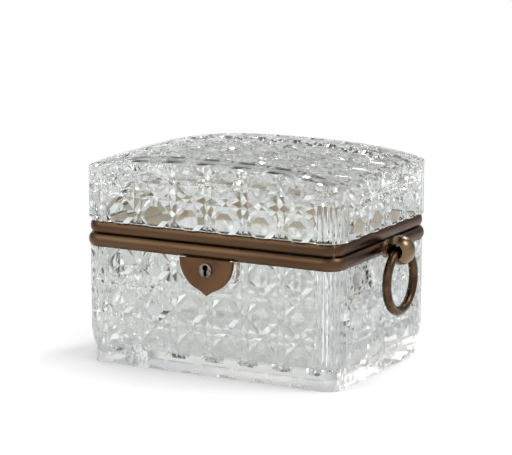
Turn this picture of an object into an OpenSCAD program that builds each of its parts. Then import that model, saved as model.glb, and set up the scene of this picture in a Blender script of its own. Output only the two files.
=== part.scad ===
// Cut-glass casket with bronze mounts. Millimetres, +Z up.
// The origin is the middle of the flat foot of the glass, X runs along the width,
// and the lock is on the -Y side.

/* [Glass body] */
// Width of the glass body
body_w = 150; // [126:1:190]
// Depth of the glass body, front to back
body_d = 108.5; // [86:1:150]
// Height of the glass body up to the underside of its rim
body_h = 62.5; // [54:0.5:90]
// Radius of the glass body's corners
corner_r = 10.5; // [8:0.5:13]
// Thickness of the glass walls
wall = 8; // [7:0.5:10]
// Thickness of the glass floor
floor_t = 11; // [8:0.5:16]
// Radius of the hollow's corners
hollow_r = 6; // [3:0.5:9]

/* [Foot] */
// Height of the plain band at the foot
foot_h = 6; // [4:0.5:8]
// How far the foot stands in from the walls
foot_inset = 2; // [1:0.25:3]
// Height over which the walls draw in towards the foot
foot_taper = 12; // [8:0.5:16]
// Length of each bevel on the foot's edge
bevel_l = 10; // [6:0.5:14]
// Height of each bevel on the foot's edge
bevel_h = 3; // [1.5:0.25:4]

/* [Lid glass] */
// How far the lid's glass stands out past the body's glass
lid_over = 0.6; // [0:0.1:1]
// Height of the crown at its middle
crown_z = 114.5; // [108:0.5:125]
// How far the crown falls from its middle to the two ends
crown_fall_x = 8; // [4:0.5:12]
// How far the crown falls from its middle to the front and the back
crown_fall_y = 3.5; // [2:0.5:10]
// How much less the crown falls at the corners than the two falls together
crown_ease = 2; // [0:0.5:3]
// Power of the crown's fall, from 2 for a round one to 4 for a flat one
crown_power = 2.6; // [2:0.1:4]
// Radius of the rounded shoulder between the lid's walls and its crown
shoulder_r = 4.25; // [3:0.25:6]
// Thickness of glass over the lid's hollow
roof_t = 13; // [10:0.5:16]

/* [Cane cutting] */
// Pitch of the cane pattern
cane_pitch = 21; // [18:0.25:26]
// Spacing of the two mitres of each pair
mitre_gap = 4; // [3:0.25:5]
// Depth of the mitres
mitre_depth = 1.7; // [0.8:0.1:2]
// How far the buttons lie below the plain face
button_sink = 0.15; // [0.1:0.05:0.4]
// Height from the rim's underside down to the middle of the first row on the body
first_row = 7; // [5:0.5:9]
// Height from the lid rim's top up to the middle of the first row on the lid
lid_first_row = 5.5; // [4:0.5:7]
// Flutes round each corner
flutes = 6; // [4:1:8]
// Depth of the flutes
flute_depth = 0.9; // [0.5:0.1:1.4]

/* [Rims] */
// Height of the body's rim
body_rim_h = 6.6; // [6.6:0.1:9]
// Height of the lid's rim
lid_rim_h = 7.1; // [5.6:0.1:8]
// Gap between the two rims
rim_gap = 0.3; // [0.2:0.05:0.6]
// How far the body's rim stands out past the glass
body_rim_out = 0.4; // [0:0.1:1]
// How far the lid's rim stands in from the body's glass
lid_rim_in = 0.6; // [0.2:0.1:1]
// Corner radius of the rims
rim_r = 9.3; // [8:0.1:12]
// Thickness of the rim's outer band, from the glass's face inwards
band_t = 3; // [2.6:0.1:3.6]
// How far the round of each band rises over its edges
band_sagitta = 1.5; // [0.8:0.1:1.8]
// Thickness of the rim's flat web, and of its lip inside the glass
web_t = 1.3; // [1:0.1:1.6]
// Thickness of the cement bed between glass and web
bed_t = 1.5; // [1.2:0.1:2]

/* [Hinge] */
// Length of the hinge
hinge_l = 62; // [40:1:80]
// Radius of the hinge's barrel
barrel_r = 2.3; // [2:0.1:2.6]
// Radius of the hinge pin
hinge_pin_r = 1.1; // [0.9:0.05:1.3]
// Distance from the glass's back face out to the hinge's axis
hinge_out = 1.2; // [1:0.1:1.6]
// Thickness of the hinge's leaves
leaf_t = 1.2; // [1:0.1:1.4]
// Radius of the rivets
rivet_r = 0.8; // [0.6:0.05:1]

/* [Ring handles] */
// Radius of the ring, to the middle of its wire
ring_r = 16; // [14:0.5:18]
// Radius of the ring's wire
wire_r = 2.4; // [2:0.1:2.8]
// Radius of the ball that carries the ring
ball_r = 7.75; // [7.25:0.25:9]
// Distance from the glass's side face out to the ball's middle
ball_out = 9; // [8.5:0.25:11]
// Radius of the collar behind the ball
collar_r = 4.9; // [4:0.1:5.4]
// Radius of the ball's shank in the rim
shank_r = 1.5; // [1:0.1:1.8]

/* [Lock] */
// Width of the shield
shield_w = 32; // [28:0.5:38]
// Height of the shield without its tip
shield_h = 17; // [15.5:0.5:20]
// Height of the shield's tip
shield_tip = 2.3; // [1.5:0.1:3]
// Thickness of the shield
shield_t = 1.1; // [0.9:0.1:1.4]
// Radius of the raised bush round the keyhole
bush_r = 3.6; // [3.2:0.1:4]
// Radius of the keyhole's round end
keyhole_r = 1.65; // [1.4:0.05:1.9]
// Width of the keyhole's slot
keyhole_slot = 1.7; // [1.2:0.1:2.2]
// Depth from the rim's underside to the middle of the bush
keyhole_drop = 5.6; // [5:0.1:7]
// Half of the lock case's width
case_half_w = 12.8; // [12.8:0.1:13.2]
// Height of the lock case below the rim
case_h = 11.2; // [11.2:0.1:12]
// Thickness of the lock case's walls
case_wall = 0.8; // [0.6:0.1:0.9]
// Travel of the bolt
bolt_travel = 2.8; // [2.4:0.1:2.8]

/* [Fit] */
// Gap between parts that slide or swing past each other
run_gap = 0.3; // [0.2:0.05:0.35]
// Gap round a pin in its bore
pin_gap = 0.05; // [0.03:0.01:0.08]
// Gap round the glass in its rim
glass_gap = 0.2; // [0.1:0.05:0.4]

/* [Hidden] */
$fn = 48;
eps = 0.01;

// Levels
body_top = body_h + body_rim_h;
lid_z = body_top + rim_gap;
lid_glass_z = lid_z + lid_rim_h;
neck_top = body_top - web_t - bed_t;
lid_neck_z = lid_z + web_t + bed_t;
hinge_z = body_top + rim_gap / 2;
hinge_y = body_d / 2 + hinge_out;

// Insets from the body glass's faces
neck_in = band_t + glass_gap;
lip_in = wall + 2 * glass_gap;

// Cane pattern, from the middle of a cell outwards
half = cane_pitch / 2;
groove = half - mitre_gap / 2;
notch_at = half - groove;
button = half / 2;
ridge_at = groove / 2;
peak_at = groove - (groove - notch_at) * (1 - 1 / sqrt(2));
ridge_depth = mitre_depth * 0.35;
peak_depth = mitre_depth * 0.45;
corner_zone = corner_r + 1;
cols_x = floor((body_w - 2 * corner_zone) / cane_pitch);
cols_y = floor((body_d - 2 * corner_zone) / cane_pitch);
rows_body = floor((body_h - first_row) / cane_pitch) + 1;
rows_lid = 2;

// Hinge
hinge_floor = hinge_y - barrel_r - run_gap - 0.1;
knuckles = 5;
rivet_xs = [for (k = [-1.5, -0.5, 0.5, 1.5]) k * hinge_l / 4];
rivet_head_r = rivet_r + 0.6;
rivet_head_t = 0.5;
body_rivet_z = body_h + 2.4;
lid_rivet_z = lid_glass_z - 2.2;

// Ring handles
boss_x = body_w / 2 + ball_out;
boss_z = body_h + body_rim_h / 2;

// Lock, its depths measured inwards from the front face
case_y = -body_d / 2;
case_depth = wall + 1.4;
case_r = 3.8;
case_gap = 0.3;
lock_z = body_h - case_h;
keyhole_z = body_h - keyhole_drop;
keyhole_drop_slot = 3.9;
bush_lift = 0.8;
back_t = 0.8;
loop_x = 6;
loop_t = 1.6;
loop_w = 3.4;
loop_in = (band_t + lip_in) / 2 - loop_w / 2 + 0.4;
loop_z = body_h - 4.5;
eye_h = 2.8;
eye_w = 2;
eye_z = loop_z + 1.2;
tongue_h = 2;
tongue_w = 1.4;
tongue_l = bolt_travel - 0.2;
upright_t = 1.5;
bar_h = 1.2;
bar_z = lock_z + 2.6;
swing_room = 1.1;
plate_l = 22;
plate_t = 1;
plate_w = 4.2;
catch_rivet_x = 9.5;
screw_r = 0.6;
screw_at = [[9.8, body_h - 2.5], [9.2, lock_z + 3.4]];
post_r = 1.25;
key_pin_r = 0.7;
spring_t = 0.3;
spring_l = 12;
spring_x = -2.8;

// The crown of the lid, without its shoulder
function crown(x, y) =
    let (a = pow(min(abs(x) / (body_w / 2), 1.1), crown_power))
    let (b = pow(min(abs(y) / (body_d / 2), 1.1), crown_power))
    crown_z - crown_fall_x * a - crown_fall_y * b + crown_ease * a * b;

// How far a quarter round of radius shoulder_r drops at a distance inside the lid's face
function round_drop(inside) =
    inside >= shoulder_r ? 0 :
    shoulder_r - sqrt(max(0, pow(shoulder_r, 2) - pow(shoulder_r - max(inside, 0), 2)));

function lid_top(x, y) =
    crown(x, y)
    - round_drop(body_w / 2 + lid_over - abs(x))
    - round_drop(body_d / 2 + lid_over - abs(y));

// One quarter of a cane cell, as triangles of [x, y, depth]
function quarter_cell() =
    let (o = [0, 0, -button_sink])
    let (a = [button, 0, -button_sink], b = [button, notch_at, -button_sink])
    let (c = [notch_at, button, -button_sink], d = [0, button, -button_sink])
    let (e = [groove, 0, -mitre_depth], f = [groove, notch_at, -mitre_depth])
    let (g = [notch_at, groove, -mitre_depth], h = [0, groove, -mitre_depth])
    let (i = [groove, groove, -mitre_depth], p = [peak_at, peak_at, -peak_depth])
    let (j = [half, 0, -mitre_depth], m = [half, ridge_at, -ridge_depth])
    let (k = [half, groove, -mitre_depth], n = [half, half, -ridge_depth])
    let (j2 = [0, half, -mitre_depth], m2 = [ridge_at, half, -ridge_depth])
    let (k2 = [groove, half, -mitre_depth])
    [
        [o, a, b], [o, b, c], [o, c, d],
        [a, e, f], [a, f, b],
        [b, f, g], [b, g, c],
        [c, g, h], [c, h, d],
        [f, i, p], [i, g, p], [g, f, p],
        [e, j, f], [f, j, m], [f, m, i], [i, m, k],
        [h, g, j2], [g, m2, j2], [g, i, m2], [i, k2, m2],
        [i, k, n], [i, n, k2]
    ];

function placed(t, sx, sy, cx, cy) =
    let (q = [for (p = t) [cx + sx * p[0], cy + sy * p[1], p[2]]])
    sx * sy > 0 ? q : [q[0], q[2], q[1]];

function centres(count) = [for (i = [0 : count - 1]) (i - (count - 1) / 2) * cane_pitch];

function cane_cells(cols, rows) = [
    for (cx = centres(cols), cy = centres(rows), sx = [-1, 1], sy = [-1, 1], t = quarter_cell())
        placed(t, sx, sy, cx, cy)
];

// Distances and depths of a cell's points along one border
function border_steps() = [
    [-half, -ridge_depth], [-groove, -mitre_depth], [-ridge_at, -ridge_depth],
    [0, -mitre_depth], [ridge_at, -ridge_depth], [groove, -mitre_depth]
];

function side_run(count) = [for (c = centres(count), s = border_steps()) [c + s[0], s[1]]];

// The border of a field of cells, anticlockwise
function cane_border(cols, rows) =
    let (w = cols * half, d = rows * half)
    concat(
        [for (s = side_run(cols)) [s[0], -d, s[1]]],
        [for (s = side_run(rows)) [w, s[0], s[1]]],
        [for (s = side_run(cols)) [-s[0], d, s[1]]],
        [for (s = side_run(rows)) [-w, -s[0], s[1]]]
    );

// All that the cutter's wheel takes off a field, up to the height cap over its face
module cane_cut(cols, rows, cap, face) {
    border = cane_border(cols, rows);
    n = len(border);
    spread = [1 + cap / (cols * half), 1 + cap / (rows * half)];
    lifted = function (p) [p[0], p[1], face(p[0], p[1]) + p[2]];
    over = function (p) [p[0] * spread[0], p[1] * spread[1], face(p[0], p[1]) + cap];
    sides = [
        for (i = [0 : n - 1])
            let (p = border[i], q = border[(i + 1) % n])
            each [
                [lifted(q), lifted(p), over(p)],
                [lifted(q), over(p), over(q)],
                [over(q), over(p), over([0, 0, 0])]
            ]
    ];
    relief = [for (t = cane_cells(cols, rows)) [for (p = t) lifted(p)]];
    triangles = concat(relief, sides);
    points = [for (t = triangles) each t];
    polyhedron(points, [for (i = [0 : len(triangles) - 1]) [3 * i, 3 * i + 1, 3 * i + 2]]);
}

// The solid under a surface, over the grid of xs by ys
module height_block(xs, ys, base_z, top) {
    nx = len(xs);
    ny = len(ys);
    at = function (i, j) j * nx + i;
    ring = concat(
        [for (i = [0 : nx - 2]) at(i, 0)],
        [for (j = [0 : ny - 2]) at(nx - 1, j)],
        [for (i = [nx - 1 : -1 : 1]) at(i, ny - 1)],
        [for (j = [ny - 1 : -1 : 1]) at(0, j)]
    );
    count = len(ring);
    upper = [for (y = ys, x = xs) [x, y, top(x, y)]];
    lower = [for (k = ring) [upper[k][0], upper[k][1], base_z]];
    faces = concat(
        [for (j = [0 : ny - 2], i = [0 : nx - 2]) each [
            [at(i, j), at(i, j + 1), at(i + 1, j + 1)],
            [at(i, j), at(i + 1, j + 1), at(i + 1, j)]
        ]],
        [for (k = [0 : count - 1]) let (m = (k + 1) % count) [ring[k], ring[m], nx * ny + m, nx * ny + k]],
        [[for (k = [0 : count - 1]) nx * ny + k]]
    );
    polyhedron(concat(upper, lower), faces);
}

// Grid lines across the lid, closer together over the shoulder
function lid_lines(size, count) =
    let (edge = size / 2 + lid_over)
    let (near = [for (k = [-0.25, 0.04, 0.17, 0.5, 1.03, 1.7]) edge - k * shoulder_r])
    let (inner = [for (i = [-count : count + 1]) (i - 0.5) * half])
    concat(
        [for (v = near) -v],
        [for (v = inner) if (abs(v) < edge - 2 * shoulder_r) v],
        [for (i = [len(near) - 1 : -1 : 0]) near[i]]
    );

// A rounded rectangle, inset from the body glass's faces
module outline(inset, r) {
    w = body_w - 2 * inset;
    d = body_d - 2 * inset;
    square([w - 2 * r, d], center = true);
    square([w, d - 2 * r], center = true);
    for (sx = [-1, 1], sy = [-1, 1]) {
        translate([sx * (w / 2 - r), sy * (d / 2 - r)]) circle(r);
    }
}

module slab(inset, r, z0, z1) {
    translate([0, 0, z0]) linear_extrude(z1 - z0) outline(inset, r);
}

module ring_slab(inset, r, inset_inner, r_inner, z0, z1) {
    difference() {
        slab(inset, r, z0, z1);
        slab(inset_inner, r_inner, z0 - 1, z1 + 1);
    }
}

// Turns a child drawn for the front face to each face in turn
module each_face(cols_front, cols_side, out) {
    for (turn = [0 : 3]) {
        $cols = turn % 2 == 0 ? cols_front : cols_side;
        depth = (turn % 2 == 0 ? body_d : body_w) / 2 + out;
        rotate([0, 0, 90 * turn]) translate([0, -depth, 0]) children();
    }
}

// One mitred flute up a corner of radius r, running out to a point at its top.
// Its sides meet those of its neighbours in ridges just inside the round of the corner.
module flute(r, z0, z1, run_out) {
    reach = flute_depth * 3;
    ridge_r = r - 0.12 * flute_depth;
    apart = 45 / flutes;
    slope = ridge_r * sin(apart) / (ridge_r * cos(apart) - r + flute_depth);
    width = (reach + flute_depth) * slope;
    hull() {
        translate([0, 0, z0]) linear_extrude(z1 - run_out - z0) {
            polygon([[-flute_depth, 0], [reach, -width], [reach, width]]);
        }
        translate([reach, 0, z1]) cube([eps, eps, eps]);
    }
}

module corner_flutes(out, z0, z1, run_out) {
    step = 90 / flutes;
    r = corner_r + out;
    for (sx = [-1, 1], sy = [-1, 1]) {
        from = sx > 0 ? (sy > 0 ? 0 : 270) : (sy > 0 ? 90 : 180);
        translate([sx * (body_w / 2 - corner_r), sy * (body_d / 2 - corner_r), 0]) {
            for (i = [0 : flutes - 1]) {
                rotate([0, 0, from + (i + 0.5) * step]) {
                    translate([r, 0, 0]) flute(r, z0, z1, run_out);
                }
            }
        }
    }
}

// One bevel on the foot's edge, under the middle of a column
module foot_bevel() {
    reach = bevel_h + 1;
    hull() {
        translate([-bevel_l / 2 - reach, -1, -reach]) cube([bevel_l + 2 * reach, 1, eps]);
        translate([-bevel_l / 2, -1, bevel_h]) cube([bevel_l, 0.6, eps]);
        translate([-bevel_l / 2, bevel_h * 0.5, -eps]) cube([bevel_l, eps, eps]);
    }
}

// A square-topped profile with rounded bottom corners, as x and z
module pocket(w, r, z0, z1) {
    translate([-w, z0 + r]) square([2 * w, z1 - z0 - r]);
    translate([-(w - r), z0]) square([2 * (w - r), z1 - z0]);
    for (s = [-1, 1]) {
        translate([s * (w - r), z0 + r]) circle(r);
    }
}

// Extrudes an x and z profile from one depth inside the front face to another
module from_front(depth0, depth1) {
    translate([0, case_y + depth1, 0]) rotate([90, 0, 0]) linear_extrude(depth1 - depth0) children();
}

module body_glass() {
    color([0.86, 0.9, 0.89, 0.5]) difference() {
        union() {
            slab(foot_inset, corner_r - foot_inset, 0, foot_h + eps);
            hull() {
                slab(foot_inset, corner_r - foot_inset, foot_h, foot_h + eps);
                slab(0, corner_r, foot_h + foot_taper, body_h);
            }
            slab(neck_in, corner_r - neck_in, body_h - eps, neck_top);
        }
        slab(wall, hollow_r, floor_t, body_top);
        corner_flutes(0, foot_h, body_h + 1, 0);
        each_face(cols_x, cols_y, 0) {
            translate([0, 0, body_h - first_row - (rows_body - 1) * half]) {
                rotate([90, 0, 0]) cane_cut($cols, rows_body, 2, function (x, y) 0);
            }
        }
        each_face(cols_x, cols_y, -foot_inset) {
            for (x = centres($cols)) {
                translate([x, 0, 0]) foot_bevel();
            }
        }
        from_front(-2, wall + 1) {
            pocket(case_half_w + case_gap, case_r + case_gap, lock_z - case_gap, body_top);
        }
    }
}

module lid_glass() {
    xs = lid_lines(body_w, cols_x);
    ys = lid_lines(body_d, cols_y);
    roof_xs = [for (i = [-4 : 4]) i * body_w / 8];
    roof_ys = [for (i = [-3 : 3]) i * body_d / 6];
    color([0.86, 0.9, 0.89, 0.5]) difference() {
        union() {
            intersection() {
                slab(-lid_over, corner_r + lid_over, lid_glass_z, crown_z + 1);
                height_block(xs, ys, lid_glass_z - 2, function (x, y) lid_top(x, y));
            }
            slab(neck_in, corner_r - neck_in, lid_neck_z, lid_glass_z + eps);
        }
        intersection() {
            slab(wall, hollow_r, lid_neck_z - 2, crown_z);
            height_block(roof_xs, roof_ys, lid_neck_z - 3, function (x, y) crown(x, y) - roof_t);
        }
        corner_flutes(lid_over, lid_glass_z - 1, crown(body_w / 2, body_d / 2) - shoulder_r, 3);
        each_face(cols_x, cols_y, lid_over) {
            translate([0, 0, lid_glass_z + lid_first_row + (rows_lid - 1) * half]) {
                rotate([90, 0, 0]) cane_cut($cols, rows_lid, 2, function (x, y) 0);
            }
        }
        cane_cut(cols_x, cols_y, 4, function (x, y) crown(x, y));
    }
}

// A band with a round face, to the height h, the round standing face_out past the body glass
module band_profile(h, face_out) {
    r = (pow(h / 2, 2) + pow(band_sagitta, 2)) / (2 * band_sagitta);
    intersection() {
        translate([face_out - r, h / 2]) circle(r, $fn = 96);
        translate([-band_t, 0]) square([band_t + face_out + 1, h]);
    }
}

// Sweeps a profile round the casket, its x measured outwards from the glass's faces
module swept_round(r) {
    for (turn = [0 : 3]) {
        w = turn % 2 == 0 ? body_w : body_d;
        d = turn % 2 == 0 ? body_d : body_w;
        rotate([0, 0, 90 * turn]) {
            translate([w / 2, d / 2 - r, 0]) rotate([90, 0, 0]) linear_extrude(d - 2 * r) children();
            translate([w / 2 - r, d / 2 - r, 0]) rotate_extrude(angle = 90) translate([r, 0]) children();
        }
    }
}

// The room that the hinge takes out of a rim
module hinge_room(z0, z1) {
    translate([-hinge_l / 2 - run_gap, hinge_floor, z0 - 1]) {
        cube([hinge_l + 2 * run_gap, 3 * barrel_r, z1 - z0 + 2]);
    }
}

module rivets(z, r, from, to) {
    for (x = rivet_xs) {
        translate([x, from, z]) rotate([-90, 0, 0]) cylinder(r = r, h = to - from);
    }
}

module at_loops() {
    for (s = [-1, 1]) {
        translate([s * loop_x, 0, 0]) children();
    }
}

// Slots for the loops of the catch, with room at their front and sides
module loop_slots(z0, z1, front, side) {
    at_loops() translate([-loop_t / 2 - side, case_y + loop_in - front, z0]) {
        cube([loop_t + 2 * side, loop_w + front + side, z1 - z0]);
    }
}

module body_rim() {
    color([0.42, 0.31, 0.22]) difference() {
        union() {
            translate([0, 0, body_h]) swept_round(rim_r) band_profile(body_rim_h, body_rim_out);
            ring_slab(band_t - 0.5, rim_r - band_t, lip_in + 0.5, hollow_r, body_top - web_t, body_top);
            ring_slab(lip_in, hollow_r, lip_in + web_t, hollow_r - web_t, body_h, body_top);
        }
        hinge_room(body_h, body_top);
        rivets(body_rivet_z, rivet_r + pin_gap, body_d / 2 - band_t - 1, body_d / 2);
        loop_slots(body_top - web_t - 1, body_top + 1, swing_room, run_gap);
        for (s = [-1, 1]) {
            translate([s * (body_w / 2 - band_t / 2), 0, boss_z]) rotate([0, 90, 0]) {
                cylinder(r = shank_r + pin_gap, h = band_t + 4, center = true);
            }
        }
    }
}

module lid_rim() {
    color([0.42, 0.31, 0.22]) difference() {
        union() {
            translate([0, 0, lid_z]) swept_round(rim_r) band_profile(lid_rim_h, -lid_rim_in);
            ring_slab(band_t - 0.5, rim_r - band_t, lip_in + 0.5, hollow_r, lid_z, lid_z + web_t);
            ring_slab(lip_in, hollow_r, lip_in + web_t, hollow_r - web_t, lid_z, lid_glass_z);
        }
        hinge_room(lid_z, lid_glass_z);
        rivets(lid_rivet_z, rivet_r + pin_gap, body_d / 2 - band_t - 1, body_d / 2);
        loop_slots(lid_z - 1, lid_z + web_t + 1, pin_gap, pin_gap);
        catch_rivet_shanks(rivet_r + pin_gap, lid_z - 1, lid_z + web_t + 1);
    }
}

// The cement between the rim's web and the ground edge of the glass
module bed_ring(z0) {
    ring_slab(band_t + glass_gap / 2, corner_r - neck_in, lip_in - glass_gap / 2, hollow_r, z0, z0 + bed_t);
}

module body_bedding() {
    color([0.85, 0.83, 0.78]) difference() {
        bed_ring(neck_top);
        from_front(0, wall + 1) {
            pocket(case_half_w + case_gap, case_r + case_gap, lock_z - case_gap, body_top);
        }
    }
}

module lid_bedding() {
    color([0.85, 0.83, 0.78]) difference() {
        bed_ring(lid_z + web_t);
        translate([-plate_l / 2 - run_gap, case_y, lid_z]) cube([plate_l + 2 * run_gap, lip_in, lid_rim_h]);
    }
}

// The knuckles of one leaf, counted from the left
module knuckle_row(first, r, extra) {
    l = hinge_l / knuckles;
    for (k = [first : 2 : knuckles - 1]) {
        translate([-hinge_l / 2 + k * l + run_gap / 2 - extra, hinge_y, hinge_z]) rotate([0, 90, 0]) {
            cylinder(r = r, h = l - run_gap + 2 * extra);
        }
    }
}

module hinge_leaf(z0, z1, first, rivet_z) {
    other = 1 - first;
    difference() {
        union() {
            difference() {
                translate([-hinge_l / 2, hinge_floor, z0]) cube([hinge_l, leaf_t, z1 - z0]);
                knuckle_row(other, barrel_r + run_gap, run_gap);
            }
            knuckle_row(first, barrel_r, 0);
        }
        translate([-hinge_l / 2 - 1, hinge_y, hinge_z]) rotate([0, 90, 0]) {
            cylinder(r = hinge_pin_r + pin_gap, h = hinge_l + 2);
        }
        rivets(rivet_z, rivet_r + pin_gap, hinge_floor - 1, hinge_floor + leaf_t + 1);
    }
}

module body_hinge_leaf() {
    color([0.5, 0.38, 0.26]) hinge_leaf(body_h + 0.4, body_top, 0, body_rivet_z);
}

module lid_hinge_leaf() {
    color([0.5, 0.38, 0.26]) hinge_leaf(lid_z, lid_glass_z - 0.4, 1, lid_rivet_z);
}

module hinge_pin() {
    head_t = 0.6;
    color([0.6, 0.48, 0.33]) translate([0, hinge_y, hinge_z]) rotate([0, 90, 0]) {
        cylinder(r = hinge_pin_r, h = hinge_l, center = true);
        for (s = [-1, 1]) {
            translate([0, 0, s * (hinge_l + head_t) / 2]) {
                cylinder(r = hinge_pin_r + 0.5, h = head_t, center = true);
            }
        }
    }
}

module leaf_rivets(z) {
    rivets(z, rivet_r, body_d / 2 - band_t, hinge_floor + leaf_t + eps);
    rivets(z, rivet_head_r, hinge_floor + leaf_t, hinge_floor + leaf_t + rivet_head_t);
}

module body_leaf_rivets() {
    color([0.6, 0.48, 0.33]) leaf_rivets(body_rivet_z);
}

module lid_leaf_rivets() {
    color([0.6, 0.48, 0.33]) leaf_rivets(lid_rivet_z);
}

// Half of the ball's section. Its bore is straight for a short way in the middle,
// and opens to a bell at both ends, to follow the bent wire of the ring.
module ball_section() {
    steps = 8;
    reach = ball_r + 0.5;
    straight = reach / steps;
    bend = function (y) ring_r - sqrt(pow(ring_r, 2) - pow(y, 2));
    wall_at = function (y) wire_r + run_gap + (abs(y) > straight + eps ? bend(y) : 0);
    ys = [for (i = [-steps : steps]) i * straight];
    difference() {
        circle(ball_r, $fn = 96);
        translate([-2 * ball_r, -ball_r]) square([2 * ball_r, 2 * ball_r]);
        polygon(concat([[-1, -reach]], [for (y = ys) [wall_at(y), y]], [[-1, reach]]));
    }
}

module ring_boss() {
    rim_x = body_w / 2 + body_rim_out;
    neck_r = collar_r - 0.8;
    color([0.5, 0.38, 0.26]) {
        translate([boss_x, 0, boss_z]) rotate([90, 0, 0]) rotate_extrude($fn = 96) ball_section();
        translate([rim_x, 0, boss_z]) rotate([0, 90, 0]) rotate_extrude() polygon([
            [0, 0], [collar_r, 0], [collar_r, 0.8], [neck_r, 1.5], [neck_r, 3], [0, 3]
        ]);
        translate([body_w / 2 - band_t, 0, boss_z]) rotate([0, 90, 0]) {
            cylinder(r = shank_r, h = band_t + body_rim_out + 1);
        }
    }
}

module handle_ring() {
    color([0.5, 0.38, 0.26]) translate([boss_x, 0, boss_z - ring_r]) rotate([0, 90, 0]) {
        rotate_extrude() translate([ring_r, 0]) circle(wire_r);
    }
}

module ring_boss_right() {
    ring_boss();
}

module ring_boss_left() {
    mirror([1, 0, 0]) ring_boss();
}

module handle_ring_right() {
    handle_ring();
}

module handle_ring_left() {
    mirror([1, 0, 0]) handle_ring();
}

// The shield's outline, a half oval with a pointed drop at its foot
module shield_profile(inset) {
    w = shield_w / 2 - inset;
    h = shield_h - inset;
    tip_w = w * 0.32;
    steps = 32;
    tip = function (x) abs(x) < tip_w ? shield_tip * pow(1 - abs(x) / tip_w, 1.7) : 0;
    polygon([
        for (i = [0 : steps])
            let (a = 180 * i / steps, x = w * cos(a))
            [x, body_h - 0.1 - h * sin(a) - tip(x)]
    ]);
}

module keyhole_profile(extra) {
    translate([0, keyhole_z + 1.2]) circle(keyhole_r + extra);
    translate([-keyhole_slot / 2 - extra, keyhole_z + 1.2 - keyhole_drop_slot - keyhole_r]) {
        square([keyhole_slot + 2 * extra, keyhole_drop_slot + keyhole_r]);
    }
}

module bush_round(depth0, depth1, r) {
    translate([0, case_y + depth1, keyhole_z]) rotate([90, 0, 0]) cylinder(r = r, h = depth1 - depth0);
}

module escutcheon() {
    step = shield_t * 0.4;
    color([0.45, 0.34, 0.24]) difference() {
        union() {
            from_front(-shield_t + step, 0) shield_profile(0);
            from_front(-shield_t, -shield_t + step) shield_profile(step);
        }
        bush_round(-shield_t - 1, 1, bush_r - 0.6 + pin_gap);
    }
}

module keyhole_bush() {
    color([0.6, 0.48, 0.33]) difference() {
        union() {
            bush_round(-shield_t, 0, bush_r - 0.6);
            bush_round(-shield_t - bush_lift, -shield_t, bush_r);
        }
        from_front(-shield_t - bush_lift - 1, 1) keyhole_profile(0);
    }
}

module lock_posts(r, depth0, depth1) {
    for (p = screw_at) {
        translate([p[0], case_y + depth1, p[1]]) rotate([90, 0, 0]) cylinder(r = r, h = depth1 - depth0);
    }
}

module lock_case() {
    color([0.62, 0.5, 0.3]) difference() {
        union() {
            difference() {
                from_front(0, case_depth) pocket(case_half_w, case_r, lock_z, body_h);
                from_front(case_wall, case_depth + 1) {
                    pocket(case_half_w - case_wall, case_r - case_wall, lock_z + case_wall, body_h - case_wall);
                }
            }
            intersection() {
                lock_posts(post_r, 0, case_depth);
                from_front(0, case_depth) pocket(case_half_w, case_r, lock_z, body_h);
            }
        }
        lock_posts(screw_r + pin_gap, case_wall, case_depth + 1);
        from_front(-1, case_wall + 1) keyhole_profile(0.2);
        loop_slots(body_h - case_wall - 0.5, body_h + 1, swing_room, run_gap);
    }
}

module lock_back_plate() {
    color([0.62, 0.5, 0.3]) difference() {
        from_front(case_depth, case_depth + back_t) pocket(case_half_w, case_r, lock_z, body_h);
        lock_posts(screw_r + pin_gap, case_depth - 1, case_depth + back_t + 1);
        bush_round(case_depth - 1, case_depth + back_t + 1, key_pin_r + pin_gap);
    }
}

module lock_screws() {
    head_t = 0.5;
    color([0.55, 0.52, 0.48]) difference() {
        union() {
            lock_posts(screw_r, case_depth - 5, case_depth + back_t + eps);
            lock_posts(screw_r + 0.6, case_depth + back_t, case_depth + back_t + head_t);
        }
        for (p = screw_at) {
            translate([p[0] - 2, case_y + case_depth + back_t + head_t - 0.25, p[1] - 0.15]) cube([4, 1, 0.3]);
        }
    }
}

module key_pin() {
    color([0.55, 0.52, 0.48]) bush_round(case_wall + 0.6, case_depth + back_t, key_pin_r);
}

// A plate with two upright tongues that shoot to the right through the catch's eyes
module lock_bolt() {
    ends = [-loop_x - loop_t / 2 - case_gap, loop_x - loop_t / 2 - case_gap];
    eye_mid = case_y + loop_in + loop_w / 2;
    tongue_z = eye_z + (eye_h - tongue_h) / 2;
    top_z = tongue_z + tongue_h;
    left = ends[0] - tongue_l - upright_t;
    color([0.55, 0.52, 0.48]) translate([0, eye_mid - tongue_w / 2, 0]) {
        translate([left, 0, bar_z]) cube([ends[1] - tongue_l - left, tongue_w, bar_h]);
        for (e = ends) {
            translate([e - tongue_l - upright_t, 0, bar_z]) cube([upright_t, tongue_w, top_z - bar_z]);
            translate([e - tongue_l - eps, 0, tongue_z]) cube([tongue_l + eps, tongue_w, tongue_h]);
        }
    }
}

// A bowed strip that rests on the case's floor and bears on the bolt from below
module bolt_spring() {
    rise = bar_z - pin_gap - (lock_z + case_wall);
    bow = rise - spring_t;
    r = (pow(spring_l / 2, 2) + pow(bow, 2)) / (2 * bow) + spring_t;
    mid = loop_in + loop_w / 2;
    color([0.4, 0.42, 0.48]) translate([spring_x, 0, 0]) from_front(mid - 1, mid + 1) intersection() {
        translate([-spring_l / 2, lock_z + case_wall]) square([spring_l, rise + 1]);
        translate([0, lock_z + case_wall + rise - r]) difference() {
            circle(r, $fn = 96);
            circle(r - spring_t, $fn = 96);
        }
    }
}

module catch_rivet_shanks(r, z0, z1) {
    for (s = [-1, 1]) {
        translate([s * catch_rivet_x, case_y + loop_in + loop_w / 2, z0]) cylinder(r = r, h = z1 - z0);
    }
}

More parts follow.
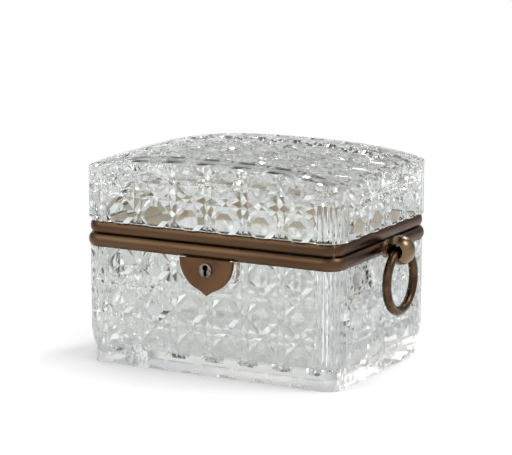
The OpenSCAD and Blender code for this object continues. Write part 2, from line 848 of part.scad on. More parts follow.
// The lid's half of the lock, a plate on the web that holds two loops
module lid_catch() {
    top_z = lid_z + web_t + plate_t;
    mid = case_y + loop_in + loop_w / 2;
    color([0.62, 0.5, 0.3]) difference() {
        translate([-plate_l / 2, mid - plate_w / 2, lid_z + web_t]) cube([plate_l, plate_w, plate_t]);
        loop_slots(lid_z, top_z + 1, pin_gap, pin_gap);
        catch_rivet_shanks(rivet_r + pin_gap, lid_z, top_z + 1);
    }
}

// The two loops, tenoned into the plate, that hang through both webs into the case
module catch_loops() {
    mid = case_y + loop_in + loop_w / 2;
    color([0.62, 0.5, 0.3]) difference() {
        loop_slots(loop_z, lid_z + web_t + plate_t, 0, 0);
        translate([-plate_l / 2, mid - eye_w / 2, eye_z]) cube([plate_l, eye_w, eye_h]);
    }
}

module catch_rivets() {
    top_z = lid_z + web_t + plate_t;
    color([0.6, 0.48, 0.33]) {
        catch_rivet_shanks(rivet_r, lid_z, top_z + eps);
        catch_rivet_shanks(rivet_head_r, top_z, top_z + 0.4);
    }
}

body_glass();
lid_glass();
body_rim();
lid_rim();
body_bedding();
lid_bedding();
body_hinge_leaf();
lid_hinge_leaf();
hinge_pin();
body_leaf_rivets();
lid_leaf_rivets();
ring_boss_right();
ring_boss_left();
handle_ring_right();
handle_ring_left();
escutcheon();
keyhole_bush();
lock_case();
lock_back_plate();
lock_screws();
key_pin();
lock_bolt();
bolt_spring();
lid_catch();
catch_loops();
catch_rivets();
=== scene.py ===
"""Cut-glass casket with bronze mounts: finishes, detailed pieces, light and camera."""

import logging
import math
from dataclasses import dataclass
from enum import Enum
from typing import Iterable

import bmesh
import bpy
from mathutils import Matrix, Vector


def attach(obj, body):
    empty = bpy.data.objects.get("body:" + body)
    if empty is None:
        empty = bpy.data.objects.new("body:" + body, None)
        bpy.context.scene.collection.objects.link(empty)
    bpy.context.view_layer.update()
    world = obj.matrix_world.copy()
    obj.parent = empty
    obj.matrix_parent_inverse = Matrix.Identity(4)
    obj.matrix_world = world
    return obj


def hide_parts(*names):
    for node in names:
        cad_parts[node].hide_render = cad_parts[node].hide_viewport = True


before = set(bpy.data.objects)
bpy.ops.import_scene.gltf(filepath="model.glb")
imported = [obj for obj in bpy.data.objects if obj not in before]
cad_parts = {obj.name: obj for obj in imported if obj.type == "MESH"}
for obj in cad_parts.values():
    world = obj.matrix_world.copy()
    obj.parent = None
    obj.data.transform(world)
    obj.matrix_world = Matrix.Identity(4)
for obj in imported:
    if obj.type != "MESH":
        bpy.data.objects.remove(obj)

log = logging.getLogger("casket")

Colour = tuple[float, float, float]
Triple = tuple[float, float, float]
Span = tuple[float, float]

MM = 0.001
WHITE: Colour = (1.0, 1.0, 1.0)
EVEN: Triple = (1.0, 1.0, 1.0)
HALVES: Span = (75 * MM, 54.25 * MM)
OUTWARDS: Triple = (-math.pi / 2, 0.0, 0.0)
UPRIGHT: Triple = (0.0, 0.0, 0.0)


def rgba(colour: Colour) -> tuple[float, float, float, float]:
    """A linear colour, made opaque."""
    return (*colour, 1.0)


def add(name: str, data: bpy.types.ID) -> bpy.types.Object:
    """A new object in the scene.

    Args:
        name: The object's name.
        data: Its mesh, light or camera.

    Returns:
        The object, at the origin.
    """
    made = bpy.data.objects.new(name, data)
    bpy.context.scene.collection.objects.link(made)
    return made


class Shade:
    """An output socket of a shader tree, which Python's operators turn into Math nodes."""

    def __init__(self, paint: "Paint", socket: bpy.types.NodeSocket) -> None:
        """Keeps the socket and the paint that it belongs to."""
        self.paint = paint
        self.socket = socket

    def __add__(self, other: "Shade | float") -> "Shade":
        """Sum."""
        return self.paint.maths("ADD", self, other)

    def __sub__(self, other: "Shade | float") -> "Shade":
        """Difference."""
        return self.paint.maths("SUBTRACT", self, other)

    def __rsub__(self, other: float) -> "Shade":
        """Difference, the other way round."""
        return self.paint.maths("SUBTRACT", other, self)

    def __mul__(self, other: "Shade | float") -> "Shade":
        """Product."""
        return self.paint.maths("MULTIPLY", self, other)

    def __truediv__(self, other: "Shade | float") -> "Shade":
        """Quotient."""
        return self.paint.maths("DIVIDE", self, other)

    def __abs__(self) -> "Shade":
        """Size without sign."""
        return self.paint.maths("ABSOLUTE", self)

    def clamp(self) -> "Shade":
        """The value held between 0 and 1."""
        return self.paint.maths("MAXIMUM", self.paint.maths("MINIMUM", self, 1.0), 0.0)

    def above(self, low: float, high: float) -> "Shade":
        """A mask that rises from 0 at low to 1 at high."""
        return ((self - low) / (high - low)).clamp()


class Tree:
    """A node tree under construction."""

    def __init__(self, tree: bpy.types.NodeTree) -> None:
        """Keeps the tree."""
        self.tree = tree

    def node(
        self, kind: str, settings: dict | None = None, inputs: dict | None = None
    ) -> bpy.types.Node:
        """Adds a node.

        Args:
            kind: The node's type.
            settings: Its properties, and "stops" for a ramp, as pairs of place and colour.
            inputs: Values or links of its sockets, by name or number.

        Returns:
            The new node.
        """
        made = self.tree.nodes.new(kind)
        for key, value in (settings or {}).items():
            if key == "stops":
                ramp = made.color_ramp
                while len(ramp.elements) < len(value):
                    ramp.elements.new(0.5)
                for element, (place, colour) in zip(ramp.elements, value):
                    element.position = place
                    element.color = rgba(colour)
            else:
                setattr(made, key, value)
        for key, value in (inputs or {}).items():
            source = value.socket if isinstance(value, Shade) else value
            if isinstance(source, bpy.types.NodeSocket):
                self.tree.links.new(source, made.inputs[key])
            else:
                made.inputs[key].default_value = value
        return made


class Paint(Tree):
    """A shader tree under construction."""

    def __init__(self, owner: bpy.types.Material | bpy.types.World) -> None:
        """Empties the owner's tree."""
        owner.use_nodes = True
        super().__init__(owner.node_tree)
        self.tree.nodes.clear()

    def out(self, node: bpy.types.Node, name: str | int = 0) -> Shade:
        """One of a node's outputs as a Shade."""
        return Shade(self, node.outputs[name])

    def maths(self, operation: str, a: Shade | float, b: Shade | float = 0.0) -> Shade:
        """A Math node's result."""
        return self.out(self.node("ShaderNodeMath", {"operation": operation}, {0: a, 1: b}))

    def split(self, vector: Shade) -> list[Shade]:
        """The three parts of a vector."""
        axes = self.node("ShaderNodeSeparateXYZ", {}, {0: vector})
        return [self.out(axes, axis) for axis in "XYZ"]

    def place(self, scale: Triple = EVEN) -> Shade:
        """Object coordinates, scaled along each axis."""
        here = self.out(self.node("ShaderNodeTexCoord"), "Object")
        return self.out(self.node("ShaderNodeMapping", {}, {"Vector": here, "Scale": scale}))

    def depth(self) -> tuple[Shade, Shade]:
        """How far a place lies in from the casket's four sides, and its height."""
        east, north, up = self.split(self.place())
        across, along = HALVES[0] - abs(east), HALVES[1] - abs(north)
        return self.maths("MINIMUM", across, along), up

    def noise(self, scale: float, detail: float, stretch: Triple = EVEN) -> Shade:
        """Noise of a scale per metre, from 0 to 1, stretched along the axes."""
        settings = {"noise_dimensions": "3D"}
        inputs = {"Vector": self.place(stretch), "Scale": scale, "Detail": detail}
        return self.out(self.node("ShaderNodeTexNoise", settings, inputs))

    def around(self, stops: Iterable[tuple[float, Colour]], turn: Shade) -> Shade:
        """A colour by bearing.

        Args:
            stops: Pairs of a bearing in degrees, from -180 to 180, and its colour.
            turn: The bearing looked up, from 0 to 1.

        Returns:
            The colour.
        """
        placed = [(bearing / 360 + 0.5, colour) for bearing, colour in stops]
        return self.out(self.node("ShaderNodeValToRGB", {"stops": placed}, {0: turn}))

    def blend(self, mask: Shade, a: Shade | Colour, b: Shade | Colour) -> Shade:
        """Colour a where the mask is 0 and b where it is 1."""
        a = a if isinstance(a, Shade) else rgba(a)
        b = b if isinstance(b, Shade) else rgba(b)
        made = self.node("ShaderNodeMix", {"data_type": "RGBA"}, {0: mask, 6: a, 7: b})
        return self.out(made, 2)

    def bump(self, height: Shade, distance: float, strength: float) -> Shade:
        """A bumped normal, its distance in metres."""
        inputs = {"Height": height, "Distance": distance, "Strength": strength}
        return self.out(self.node("ShaderNodeBump", {}, inputs))

    def finish(self, shader: bpy.types.Node, kind: str = "ShaderNodeOutputMaterial") -> None:
        """Joins a shader to the tree's output."""
        self.node(kind, {}, {"Surface": self.out(shader)})


class Growth(Tree):
    """A Geometry Nodes tree under construction, with named inputs for its sizes."""

    def __init__(self, name: str) -> None:
        """Opens an empty tree with one geometry output."""
        super().__init__(bpy.data.node_groups.new(name, "GeometryNodeTree"))
        sockets = self.tree.interface
        sockets.new_socket("Geometry", in_out="OUTPUT", socket_type="NodeSocketGeometry")
        self.entry = self.node("NodeGroupInput")
        self.exit = self.node("NodeGroupOutput")
        self.keys: dict[str, str] = {}

    def size(self, name: str, kind: str = "NodeSocketFloat") -> bpy.types.NodeSocket:
        """Adds a named input and returns its link."""
        made = self.tree.interface.new_socket(name, in_out="INPUT", socket_type=kind)
        self.keys[name] = made.identifier
        return next(s for s in self.entry.outputs if s.identifier == made.identifier)

    def output(
        self, kind: str, inputs: dict | None = None, settings: dict | None = None
    ) -> bpy.types.NodeSocket:
        """Adds a node and returns its first output."""
        return self.node(kind, settings, inputs).outputs[0]

    def maths(
        self, operation: str, a: bpy.types.NodeSocket, b: bpy.types.NodeSocket | float
    ) -> bpy.types.NodeSocket:
        """A Math node's result."""
        return self.output("ShaderNodeMath", {0: a, 1: b}, {"operation": operation})

    def close(self, geometry: bpy.types.NodeSocket) -> None:
        """Ends the tree in plain geometry with one material, a named input too."""
        finish = self.size("Finish", "NodeSocketMaterial")
        real = self.output("GeometryNodeRealizeInstances", {0: geometry})
        painted = self.output("GeometryNodeSetMaterial", {"Geometry": real, "Material": finish})
        self.tree.links.new(painted, self.exit.inputs[0])

    def grow(self, name: str, sizes: dict[str, object], sharp: float = 35.0) -> bpy.types.Object:
        """Runs the tree and keeps its result as a plain mesh.

        Args:
            name: The new piece's name.
            sizes: The values of the tree's named inputs.
            sharp: The angle in degrees past which an edge stays sharp.

        Returns:
            The piece, at the origin, with no modifier.
        """
        seed = add(name + "_seed", bpy.data.meshes.new(name + "_seed"))
        growing = seed.modifiers.new("growth", "NODES")
        growing.node_group = self.tree
        for key, value in sizes.items():
            growing[self.keys[key]] = value
        ready = seed.evaluated_get(bpy.context.evaluated_depsgraph_get())
        mesh = bpy.data.meshes.new_from_object(ready)
        bpy.data.objects.remove(seed)
        piece = add(name, mesh)
        mesh.shade_smooth()
        mesh.set_sharp_from_angle(angle=math.radians(sharp))
        return piece


@dataclass(frozen=True)
class Mottle:
    """Noise of a scale per metre, and the levels between which it is spread to a mask."""

    scale: float
    detail: float
    levels: Span = (0.0, 1.0)

    def noise(self, paint: Paint, stretch: Triple = EVEN) -> Shade:
        """The plain noise, its levels left aside."""
        return paint.noise(self.scale, self.detail, stretch)

    def mask(self, paint: Paint, stretch: Triple = EVEN) -> Shade:
        """The noise, spread between its levels."""
        return self.noise(paint, stretch).above(*self.levels)


@dataclass(frozen=True)
class Look:
    """A finish, by what it feeds to a Principled shader."""

    name: str

    def inputs(self, paint: Paint) -> dict[str, object]:
        """The shader's inputs, by name."""
        raise NotImplementedError

    def material(self) -> bpy.types.Material:
        """Builds the material."""
        made = bpy.data.materials.new(self.name)
        paint = Paint(made)
        paint.finish(paint.node("ShaderNodeBsdfPrincipled", {}, self.inputs(paint)))
        return made


@dataclass(frozen=True)
class Crystal(Look):
    """Clear lead crystal, polished after cutting."""

    tint: Colour = (0.968, 0.985, 0.975)
    ior: float = 1.54
    ripple: Mottle = Mottle(170.0, 2.0)
    wave: float = 0.06 * MM
    wave_share: float = 0.6
    dull: Mottle = Mottle(60.0, 4.0, (0.45, 0.8))
    dulling: float = 0.05
    polish: float = 0.03
    soft: float = 0.035
    skin: Span = (4 * MM, 5 * MM)
    hollow: Span = (9.5 * MM, 102.5 * MM)

    def inside(self, paint: Paint) -> Shade:
        """A mask of the hollows' faces, which the wheel and the polish never reach."""
        depth, up = paint.depth()
        low, high = self.hollow
        return depth.above(*self.skin) * up.above(low, low + MM) * (1.0 - up.above(high, high + MM))

    def inputs(self, paint: Paint) -> dict[str, object]:
        """Clear glass, with the slight ripple and dulling of hand polishing."""
        dull = self.dull.mask(paint) * self.dulling + self.polish
        return {
            "Base Color": rgba(self.tint),
            "Roughness": dull + self.inside(paint) * self.soft,
            "IOR": self.ior,
            "Transmission Weight": 1.0,
            "Normal": paint.bump(self.ripple.noise(paint), self.wave, self.wave_share),
        }


@dataclass(frozen=True)
class Patina(Look):
    """Bronze under a brown patina, rubbed brighter where hands touch it."""

    deep: Colour
    brown: Colour
    rubbed: Colour
    rub: float
    roughness: float
    streak: Triple = EVEN
    gilt: Colour | None = None
    skin: Span = (3.2 * MM, 4.2 * MM)
    cloud: Mottle = Mottle(60.0, 4.0, (0.32, 0.68))
    fleck: Mottle = Mottle(420.0, 3.0, (0.4, 0.75))
    worn: Mottle = Mottle(130.0, 5.0, (0.35, 0.8))
    scratch: Mottle = Mottle(900.0, 2.0)
    fleck_share: float = 0.14
    polish: float = 0.05
    cloud_rise: float = 0.4
    relief: float = 0.03 * MM
    relief_share: float = 0.5

    def inputs(self, paint: Paint) -> dict[str, object]:
        """Mottled browns with fine streaks along the length, worn highlights and kept insides."""
        cloud = self.cloud.mask(paint, self.streak)
        worn = (self.worn.mask(paint, self.streak) * self.rub).clamp()
        colour = paint.blend(worn, paint.blend(cloud, self.deep, self.brown), self.rubbed)
        if self.gilt:
            colour = paint.blend(paint.depth()[0].above(*self.skin), colour, self.gilt)
        fleck = self.fleck.mask(paint, self.streak) * self.fleck_share
        height = self.scratch.noise(paint, self.streak) + cloud * self.cloud_rise
        return {
            "Base Color": colour,
            "Metallic": 1.0,
            "Roughness": fleck + (self.roughness - self.polish),
            "Normal": paint.bump(height, self.relief, self.relief_share),
        }


@dataclass(frozen=True)
class Plain(Look):
    """A plain metal or a matte cement, mottled at the scale of its grain."""

    colour: Colour
    shadow: Colour
    roughness: float
    metallic: float
    grain: float = 300.0
    detail: float = 4.0
    levels: Span = (0.3, 0.7)
    unevenness: float = 0.1
    finer: float = 4.0
    fine_detail: float = 3.0
    relief: float = 0.03 * MM
    relief_share: float = 0.5

    def inputs(self, paint: Paint) -> dict[str, object]:
        """Two tones of one colour over a fine grain."""
        mottle = Mottle(self.grain, self.detail, self.levels).mask(paint)
        grain = Mottle(self.grain * self.finer, self.fine_detail).noise(paint)
        return {
            "Base Color": paint.blend(mottle, self.shadow, self.colour),
            "Metallic": self.metallic,
            "Roughness": mottle * self.unevenness + self.roughness,
            "Normal": paint.bump(grain, self.relief, self.relief_share),
        }


class Finish(Enum):
    """The casket's finishes."""

    CRYSTAL = Crystal("crystal")
    RIM = Patina(
        "bronze_rim",
        (0.064, 0.035, 0.02),
        (0.115, 0.066, 0.037),
        (0.2, 0.13, 0.07),
        0.3,
        0.34,
        (0.2, 0.2, 1.6),
        (0.66, 0.57, 0.43),
    )
    SHIELD = Patina(
        "bronze_shield", (0.086, 0.044, 0.024), (0.145, 0.078, 0.041), (0.2, 0.115, 0.06), 0.3, 0.38
    )
    BALL = Patina(
        "bronze_ball", (0.1, 0.064, 0.038), (0.18, 0.12, 0.07), (0.44, 0.32, 0.18), 0.5, 0.26
    )
    RING = Patina(
        "bronze_ring", (0.042, 0.023, 0.014), (0.08, 0.045, 0.026), (0.24, 0.15, 0.075), 0.4, 0.3
    )
    BRASS = Patina(
        "aged_brass", (0.3, 0.2, 0.11), (0.45, 0.32, 0.18), (0.62, 0.47, 0.28), 0.4, 0.28
    )
    BUSH = Plain("worn_bush", (0.34, 0.3, 0.26), (0.1, 0.085, 0.07), 0.3, 1.0, 700.0)
    CEMENT = Plain("cement", (0.62, 0.59, 0.52), (0.5, 0.47, 0.41), 0.8, 0.0)
    STEEL = Plain("filed_steel", (0.42, 0.4, 0.37), (0.25, 0.23, 0.21), 0.32, 1.0)


Dressing = tuple[tuple[Finish, tuple[str, ...]], ...]


class Finishes:
    """Makes each finish once and puts it on pieces."""

    def __init__(self) -> None:
        """Starts with no material made."""
        self.made: dict[Finish, bpy.types.Material] = {}

    def get(self, finish: Finish) -> bpy.types.Material:
        """The material of a finish."""
        if finish not in self.made:
            self.made[finish] = finish.value.material()
        return self.made[finish]

    def dress(self, dressing: Dressing) -> None:
        """Gives CAD nodes their finishes, in all their material slots.

        Args:
            dressing: Pairs of a finish and the names of the nodes that it goes on.
        """
        for finish, names in dressing:
            for name in names:
                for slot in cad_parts[name].material_slots:
                    slot.material = self.get(finish)
                log.info("dressed %s in %s", name, finish.value.name)


@dataclass(frozen=True)
class Glass:
    """The two cut-crystal pieces and the cement on their ground edges."""

    panes: tuple[tuple[str, str], ...] = (("body_glass", "body"), ("lid_glass", "lid"))
    dressing: Dressing = ((Finish.CEMENT, ("body_bedding", "lid_bedding")),)
    weld: float = 0.002 * MM
    film: float = 0.01 * MM

    def facet(self, name: str, body: str, finish: bpy.types.Material) -> None:
        """Makes a pane whose every facet is flat, as the wheel leaves it, in place of the CAD's.

        Its faces lie a hair inside the CAD's, which leaves a film of air at the mounts.

        Args:
            name: The CAD node.
            body: The body that it rides on.
            finish: The glass.
        """
        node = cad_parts[name]
        mesh = node.data.copy()
        mesh.transform(node.matrix_world)
        work = bmesh.new()
        work.from_mesh(mesh)
        bmesh.ops.remove_doubles(work, verts=work.verts, dist=self.weld)
        work.normal_update()
        for corner in work.verts:
            corner.co -= corner.normal * self.film
        work.to_mesh(mesh)
        work.free()
        mesh.materials.clear()
        mesh.materials.append(finish)
        smoothing = mesh.attributes.get("custom_normal")
        if smoothing:
            mesh.attributes.remove(smoothing)
        mesh.shade_flat()
        pane = add(name + "_faceted", mesh)
        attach(pane, body)
        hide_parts(name)
        log.info("faceted %s: %d faces", name, len(mesh.polygons))

    def build(self, finishes: Finishes) -> None:
        """Makes the glass and dresses its cement."""
        for name, body in self.panes:
            self.facet(name, body, finishes.get(Finish.CRYSTAL))
        finishes.dress(self.dressing)


@dataclass(frozen=True)
class Rivets:
    """The sizes of one row of rivets.

    Attributes:
        name: The CAD node that the row stands for.
        body: The body that it rides on.
        count: How many rivets the row has.
        pitch: Their spacing in metres.
        middle: The row's middle, at the seat of the heads, in metres.
        turn: The turn of each rivet, in radians, from its head upwards.
        rise: The height of the domed heads in metres.
        length: The length of the shanks in metres.
        head: The radius of the heads in metres.
        shank: The radius of the shanks in metres.
    """

    name: str
    body: str
    count: int
    pitch: float
    middle: Triple
    turn: Triple
    rise: float
    length: float
    head: float = 1.4 * MM
    shank: float = 0.8 * MM


class RivetRow:
    """A row of domed rivets on their shanks."""

    sides: int = 24

    def __init__(self) -> None:
        """Builds the tree once, for all the casket's rivets."""
        self.row = Growth("rivet_row")
        inputs = {"Points": self.seats(), "Instance": self.rivet()}
        turn = self.row.size("Turn", "NodeSocketVector")
        inputs["Rotation"] = self.row.output("FunctionNodeEulerToRotation", {0: turn})
        self.row.close(self.row.output("GeometryNodeInstanceOnPoints", inputs))

    def seats(self) -> bpy.types.NodeSocket:
        """The seats of the heads, along X about the row's middle."""
        row = self.row
        count, pitch = row.size("Count", "NodeSocketInt"), row.size("Pitch")
        middle = row.size("Middle", "NodeSocketVector")
        step = row.output("ShaderNodeCombineXYZ", {0: pitch})
        half = row.maths("MULTIPLY", row.maths("SUBTRACT", count, 1.0), -0.5)
        back = row.output("ShaderNodeVectorMath", {0: step, "Scale": half}, {"operation": "SCALE"})
        first = row.output("ShaderNodeVectorMath", {0: middle, 1: back}, {"operation": "ADD"})
        inputs = {"Count": count, "Start Location": first, "Offset": step}
        return row.output("GeometryNodeMeshLine", inputs, {"mode": "OFFSET"})

    def rivet(self) -> bpy.types.NodeSocket:
        """One rivet: a flattened ball for its head, and the shank under it."""
        row = self.row
        head, rise = row.size("Head radius"), row.size("Head rise")
        shank, length = row.size("Shank radius"), row.size("Shank length")
        inputs = {"Segments": self.sides, "Rings": self.sides // 2, "Radius": head}
        ball = row.output("GeometryNodeMeshUVSphere", inputs)
        squash = row.maths("DIVIDE", rise, head)
        flat = row.output("ShaderNodeCombineXYZ", {0: 1.0, 1: 1.0, 2: squash})
        dome = row.output("GeometryNodeTransform", {"Geometry": ball, "Scale": flat})
        inputs = {"Vertices": self.sides, "Radius": shank, "Depth": length}
        pin = row.output("GeometryNodeMeshCylinder", inputs)
        under = row.output("ShaderNodeCombineXYZ", {2: row.maths("MULTIPLY", length, -0.5)})
        low = row.output("GeometryNodeTransform", {"Geometry": pin, "Translation": under})
        whole = row.node("GeometryNodeJoinGeometry")
        for part in (dome, low):
            row.tree.links.new(part, whole.inputs[0])
        return whole.outputs[0]

    def make(self, rivets: Rivets, finish: bpy.types.Material) -> None:
        """Makes one row in place of the CAD node of the same name."""
        name, body = rivets.name, rivets.body
        sizes = {
            "Count": rivets.count,
            "Pitch": rivets.pitch,
            "Middle": rivets.middle,
            "Turn": rivets.turn,
            "Head radius": rivets.head,
            "Head rise": rivets.rise,
            "Shank radius": rivets.shank,
            "Shank length": rivets.length,
            "Finish": finish,
        }
        row = self.row.grow(name + "_domed", sizes)
        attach(row, body)
        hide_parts(name)
        log.info("made %s: %d rivets", row.name, rivets.count)


@dataclass(frozen=True)
class Handle:
    """One loose ring, drawn along its circle."""

    radius: float = 16 * MM
    wire: float = 2.4 * MM
    reach: float = 84 * MM
    height: float = 49.8 * MM
    steps_round: int = 160
    sides: int = 40

    def tree(self) -> Growth:
        """Builds the ring's tree: a round wire swept round a circle."""
        ring = Growth("ring_of_wire")
        radius, wire = ring.size("Ring radius"), ring.size("Wire radius")
        place = ring.size("Middle", "NodeSocketVector")
        circle = "GeometryNodeCurvePrimitiveCircle"
        path = ring.output(circle, {"Resolution": self.steps_round, "Radius": radius})
        section = ring.output(circle, {"Resolution": self.sides, "Radius": wire})
        swept = ring.output("GeometryNodeCurveToMesh", {"Curve": path, "Profile Curve": section})
        upright = ring.output("FunctionNodeEulerToRotation", {0: (0.0, math.pi / 2, 0.0)})
        inputs = {"Geometry": swept, "Translation": place, "Rotation": upright}
        ring.close(ring.output("GeometryNodeTransform", inputs))
        return ring

    def build(self, finish: bpy.types.Material) -> None:
        """Makes both rings in place of the CAD's."""
        tree = self.tree()
        for side, sign in (("right", 1.0), ("left", -1.0)):
            sizes = {
                "Ring radius": self.radius,
                "Wire radius": self.wire,
                "Middle": (sign * self.reach, 0.0, self.height),
                "Finish": finish,
            }
            ring = tree.grow(f"ring_{side}_turned", sizes)
            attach(ring, f"ring_{side}")
            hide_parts(f"handle_ring_{side}")
            log.info("made %s", ring.name)


@dataclass(frozen=True)
class Mounts:
    """Rims, hinge and ring handles."""

    dressing: Dressing = (
        (Finish.RIM, ("body_rim", "lid_rim")),
        (Finish.SHIELD, ("body_hinge_leaf", "lid_hinge_leaf")),
        (Finish.BRASS, ("hinge_pin",)),
        (Finish.BALL, ("ring_boss_right", "ring_boss_left")),
    )
    leaves: tuple[tuple[str, str, float], ...] = (
        ("body_leaf_rivets", "body", 64.9 * MM),
        ("lid_leaf_rivets", "lid", 74.3 * MM),
    )
    rivets_each: int = 4
    seat: float = 53.95 * MM
    pitch: float = 15.5 * MM
    rise: float = 0.5 * MM
    length: float = 2.7 * MM
    handle: Handle = Handle()

    def build(self, finishes: Finishes, rivets: RivetRow) -> None:
        """Dresses the mounts and makes their rivets and rings."""
        finishes.dress(self.dressing)
        self.handle.build(finishes.get(Finish.RING))
        for name, body, level in self.leaves:
            middle = (0.0, self.seat, level)
            row = Rivets(
                name=name,
                body=body,
                count=self.rivets_each,
                pitch=self.pitch,
                middle=middle,
                turn=OUTWARDS,
                rise=self.rise,
                length=self.length,
            )
            rivets.make(row, finishes.get(Finish.BRASS))


@dataclass(frozen=True)
class Lock:
    """The shield in front, and the box lock behind it."""

    dressing: Dressing = (
        (Finish.SHIELD, ("escutcheon",)),
        (Finish.BUSH, ("keyhole_bush",)),
        (Finish.BRASS, ("lock_case", "lock_back_plate", "lid_catch", "catch_loops")),
        (Finish.STEEL, ("lock_screws", "key_pin", "lock_bolt", "bolt_spring")),
    )
    catch: Rivets = Rivets(
        name="catch_rivets",
        body="lid",
        count=2,
        pitch=19 * MM,
        middle=(0.0, -48.15 * MM, 71.7 * MM),
        turn=UPRIGHT,
        rise=0.4 * MM,
        length=2.3 * MM,
    )

    def build(self, finishes: Finishes, rivets: RivetRow) -> None:
        """Dresses the lock and makes the catch's rivets."""
        finishes.dress(self.dressing)
        rivets.make(self.catch, finishes.get(Finish.BRASS))


@dataclass(frozen=True)
class Chart:
    """Brightness all round the casket, blended between bearings and between levels."""

    bearings: tuple[float, ...]
    rows: tuple[tuple[float, tuple[float, ...]], ...]
    most: float = 2.0

    def shade(self, paint: Paint, turn: Shade, level: Shade) -> Shade:
        """Paints the chart.

        Args:
            paint: The tree to paint in.
            turn: The bearing, from 0 to 1.
            level: The height in degrees, or the distance in metres.

        Returns:
            The brightness.
        """
        light, last = None, 0.0
        for at, values in self.rows:
            stops = [(b, (v / self.most,) * 3) for b, v in zip(self.bearings, values)]
            row = paint.around(stops, turn)
            light = row if light is None else paint.blend(level.above(last, at), light, row)
            last = at
        return light * self.most


@dataclass(frozen=True)
class Lamp:
    """A soft square lamp, its place and size in metres and its power in watts."""

    name: str
    place: Triple
    size: float
    power: float

    def hang(self, aim: Triple) -> None:
        """Hangs the lamp, turned towards a place."""
        data = bpy.data.lights.new(self.name, "AREA")
        data.energy = self.power
        data.size = self.size
        lamp = add(self.name, data)
        lamp.location = self.place
        way = Vector(aim) - Vector(self.place)
        lamp.rotation_euler = way.to_track_quat("-Z", "Y").to_euler()


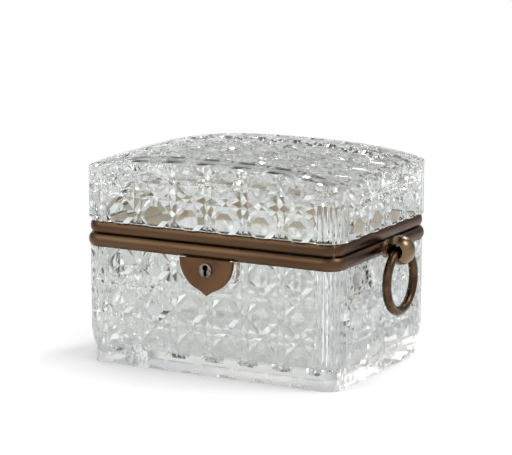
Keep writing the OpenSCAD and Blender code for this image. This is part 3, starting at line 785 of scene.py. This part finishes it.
@dataclass(frozen=True)
class Studio:
    """The pale table, the soft lamps, the room and the camera."""

    table_span: float = 6.0
    table_grey: Colour = (0.93, 0.93, 0.93)
    shadow_fade: Span = (0.12, 0.3)
    turns: int = 32
    dusk: float = 0.97
    walls: Chart = Chart(
        (-180, -90, -45, -20, 0, 20, 45, 90, 180),
        (
            (0, (1.0, 0.9, 0.4, 0.4, 1.05, 0.9, 0.5, 0.5, 1.0)),
            (12, (0.95, 0.55, 0.4, 0.35, 0.55, 0.5, 0.25, 0.45, 0.95)),
            (26, (1.1, 0.9, 0.4, 0.6, 0.05, 0.3, 0.4, 1.1, 1.1)),
            (45, (0.9, 0.85, 0.65, 0.1, 0.05, 0.05, 0.7, 1.25, 0.9)),
            (75, (0.05,) * 9),
        ),
    )
    # Painted light on the table, seen only through the glass: its glow by bearing and distance, dim
    # under the casket as a painted shadow.
    painted_table_glow: Chart = Chart(
        (-180, -60, -20, 20, 60, 180),
        (
            (0.06, (0.55,) * 6),
            (0.11, (1.1, 0.2, 0.85, 0.6, 0.6, 1.1)),
            (0.17, (1.55, 0.9, 0.3, 0.65, 0.55, 1.55)),
            (0.3, (1.1, 0.4, 0.5, 0.75, 0.35, 1.1)),
            (0.8, (0.1, 0.5, 0.85, 1.2, 0.4, 0.1)),
        ),
    )
    hues: tuple[tuple[float, Colour], ...] = (
        (-180, WHITE),
        (-45, (0.95, 0.985, 1.0)),
        (-15, (1.0, 0.98, 0.945)),
        (15, (0.95, 0.985, 1.0)),
        (45, (1.0, 0.98, 0.945)),
        (180, WHITE),
    )
    lamps: tuple[Lamp, ...] = (
        Lamp("key", (0.62, 0.05, 0.85), 0.4, 3.5),
        Lamp("fill", (-0.6, -0.9, 0.6), 0.8, 2.3),
        Lamp("back", (0.1, 0.8, 0.9), 0.25, 4.0),
    )
    lamps_aim: Triple = (0.0, 0.0, 0.06)
    azimuth: float = 28.6
    elevation: float = 11.14
    distance: float = 1.3743
    focal_px: float = 2590.8
    photo_px: int = 512
    sensor_mm: float = 36.0
    sight: float = 50.0
    target: Triple = (-0.00086, 0.0, 0.0696)

    def turn(self, paint: Paint, way: Shade) -> Shade:
        """The bearing of a direction or place, from 0 to 1, and 0.5 in line with the camera."""
        east, north, _ = paint.split(way)
        a = math.radians(self.azimuth)
        onwards = north * math.cos(a) - east * math.sin(a)
        leftwards = 0.0 - (east * math.cos(a) + north * math.sin(a))
        return paint.maths("ARCTAN2", leftwards, onwards) / math.tau + 0.5

    def hue(self, paint: Paint, turn: Shade, mask: Shade) -> Shade:
        """The faint warm and cool tints by bearing, where the mask is 1, and white elsewhere."""
        return paint.blend(mask, WHITE, paint.around(self.hues, turn))

    def room(self) -> None:
        """Makes the world: white to the eye, and a soft studio to what mirrors or bends light."""
        world = bpy.data.worlds.new("room")
        bpy.context.scene.world = world
        paint = Paint(world)
        path = paint.node("ShaderNodeLightPath")
        seen = paint.out(path, "Is Camera Ray")
        clear = (paint.out(path, "Is Glossy Ray") + paint.out(path, "Is Transmission Ray")).clamp()
        way = paint.out(paint.node("ShaderNodeTexCoord"), "Generated")
        height = paint.maths("ARCSINE", paint.split(way)[2]) * math.degrees(1.0)
        turn = self.turn(paint, way)
        light = self.walls.shade(paint, turn, height)
        strength = seen + (1.0 - seen) * (clear * light + (1.0 - clear) * self.dusk)
        inputs = {"Color": self.hue(paint, turn, clear), "Strength": strength}
        back = paint.node("ShaderNodeBackground", {}, inputs)
        paint.finish(back, "ShaderNodeOutputWorld")

    def table(self) -> None:
        """Makes the table top: pale, holding the casket's shadow, white further out, and a painted
        glow to rays through the glass.
        """
        mesh = bpy.data.meshes.new("table")
        s = self.table_span
        mesh.from_pydata([(-s, -s, 0), (s, -s, 0), (s, s, 0), (-s, s, 0)], [], [(0, 1, 2, 3)])
        top = add("table", mesh)
        made = bpy.data.materials.new("table_top")
        paint = Paint(made)
        here = paint.place()
        far = paint.out(
            paint.node("ShaderNodeVectorMath", {"operation": "LENGTH"}, {0: here}), "Value"
        )
        path = paint.node("ShaderNodeLightPath")
        through = paint.out(path, "Is Transmission Ray")
        turn = self.turn(paint, here)
        # Painted light: to rays through the glass the table glows by the chart, tinted by the hues,
        # and is dim under the casket as a painted shadow.
        glow = self.painted_table_glow.shade(paint, turn, far)
        seen = (paint.out(path, "Is Camera Ray") + paint.out(path, "Is Glossy Ray")).clamp()
        strength = 1.0 - through * (1.0 - glow)
        inputs = {"Color": self.hue(paint, turn, through), "Strength": strength}
        white = paint.out(paint.node("ShaderNodeEmission", {}, inputs))
        pale = paint.out(paint.node("ShaderNodeBsdfDiffuse", {}, {"Color": rgba(self.table_grey)}))
        mask = paint.maths("MAXIMUM", far.above(*self.shadow_fade) * seen, through)
        paint.finish(paint.node("ShaderNodeMixShader", {}, {0: mask, 1: pale, 2: white}))
        mesh.materials.append(made)

    def camera(self) -> None:
        """Sets the camera where the photograph was taken from."""
        a, e = math.radians(self.azimuth), math.radians(self.elevation)
        back = Vector((math.sin(a) * math.cos(e), -math.cos(a) * math.cos(e), math.sin(e)))
        eye = bpy.data.cameras.new("eye")
        eye.sensor_width = self.sensor_mm
        eye.lens = self.focal_px / self.photo_px * self.sensor_mm
        eye.clip_end = self.sight
        stand = add("eye", eye)
        stand.location = Vector(self.target) + back * self.distance
        stand.rotation_euler = (-back).to_track_quat("-Z", "Y").to_euler()
        bpy.context.scene.camera = stand

    def paths(self) -> None:
        """Lets light cross and turn inside the cut glass as often as it needs to get out."""
        cycles = bpy.context.scene.cycles
        cycles.max_bounces = self.turns
        cycles.transmission_bounces = self.turns
        cycles.glossy_bounces = self.turns

    def build(self) -> None:
        """Builds the whole studio."""
        bpy.context.scene.view_settings.view_transform = "Standard"
        self.paths()
        self.room()
        self.table()
        for lamp in self.lamps:
            lamp.hang(self.lamps_aim)
        self.camera()
        log.info("studio is set")


def main() -> None:
    """Builds the casket's looks in order."""
    logging.basicConfig(level=logging.INFO, format="%(name)s: %(message)s")
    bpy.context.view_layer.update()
    finishes = Finishes()
    rivets = RivetRow()
    Glass().build(finishes)
    Mounts().build(finishes, rivets)
    Lock().build(finishes, rivets)
    Studio().build()


if __name__ == "__main__":
    main()
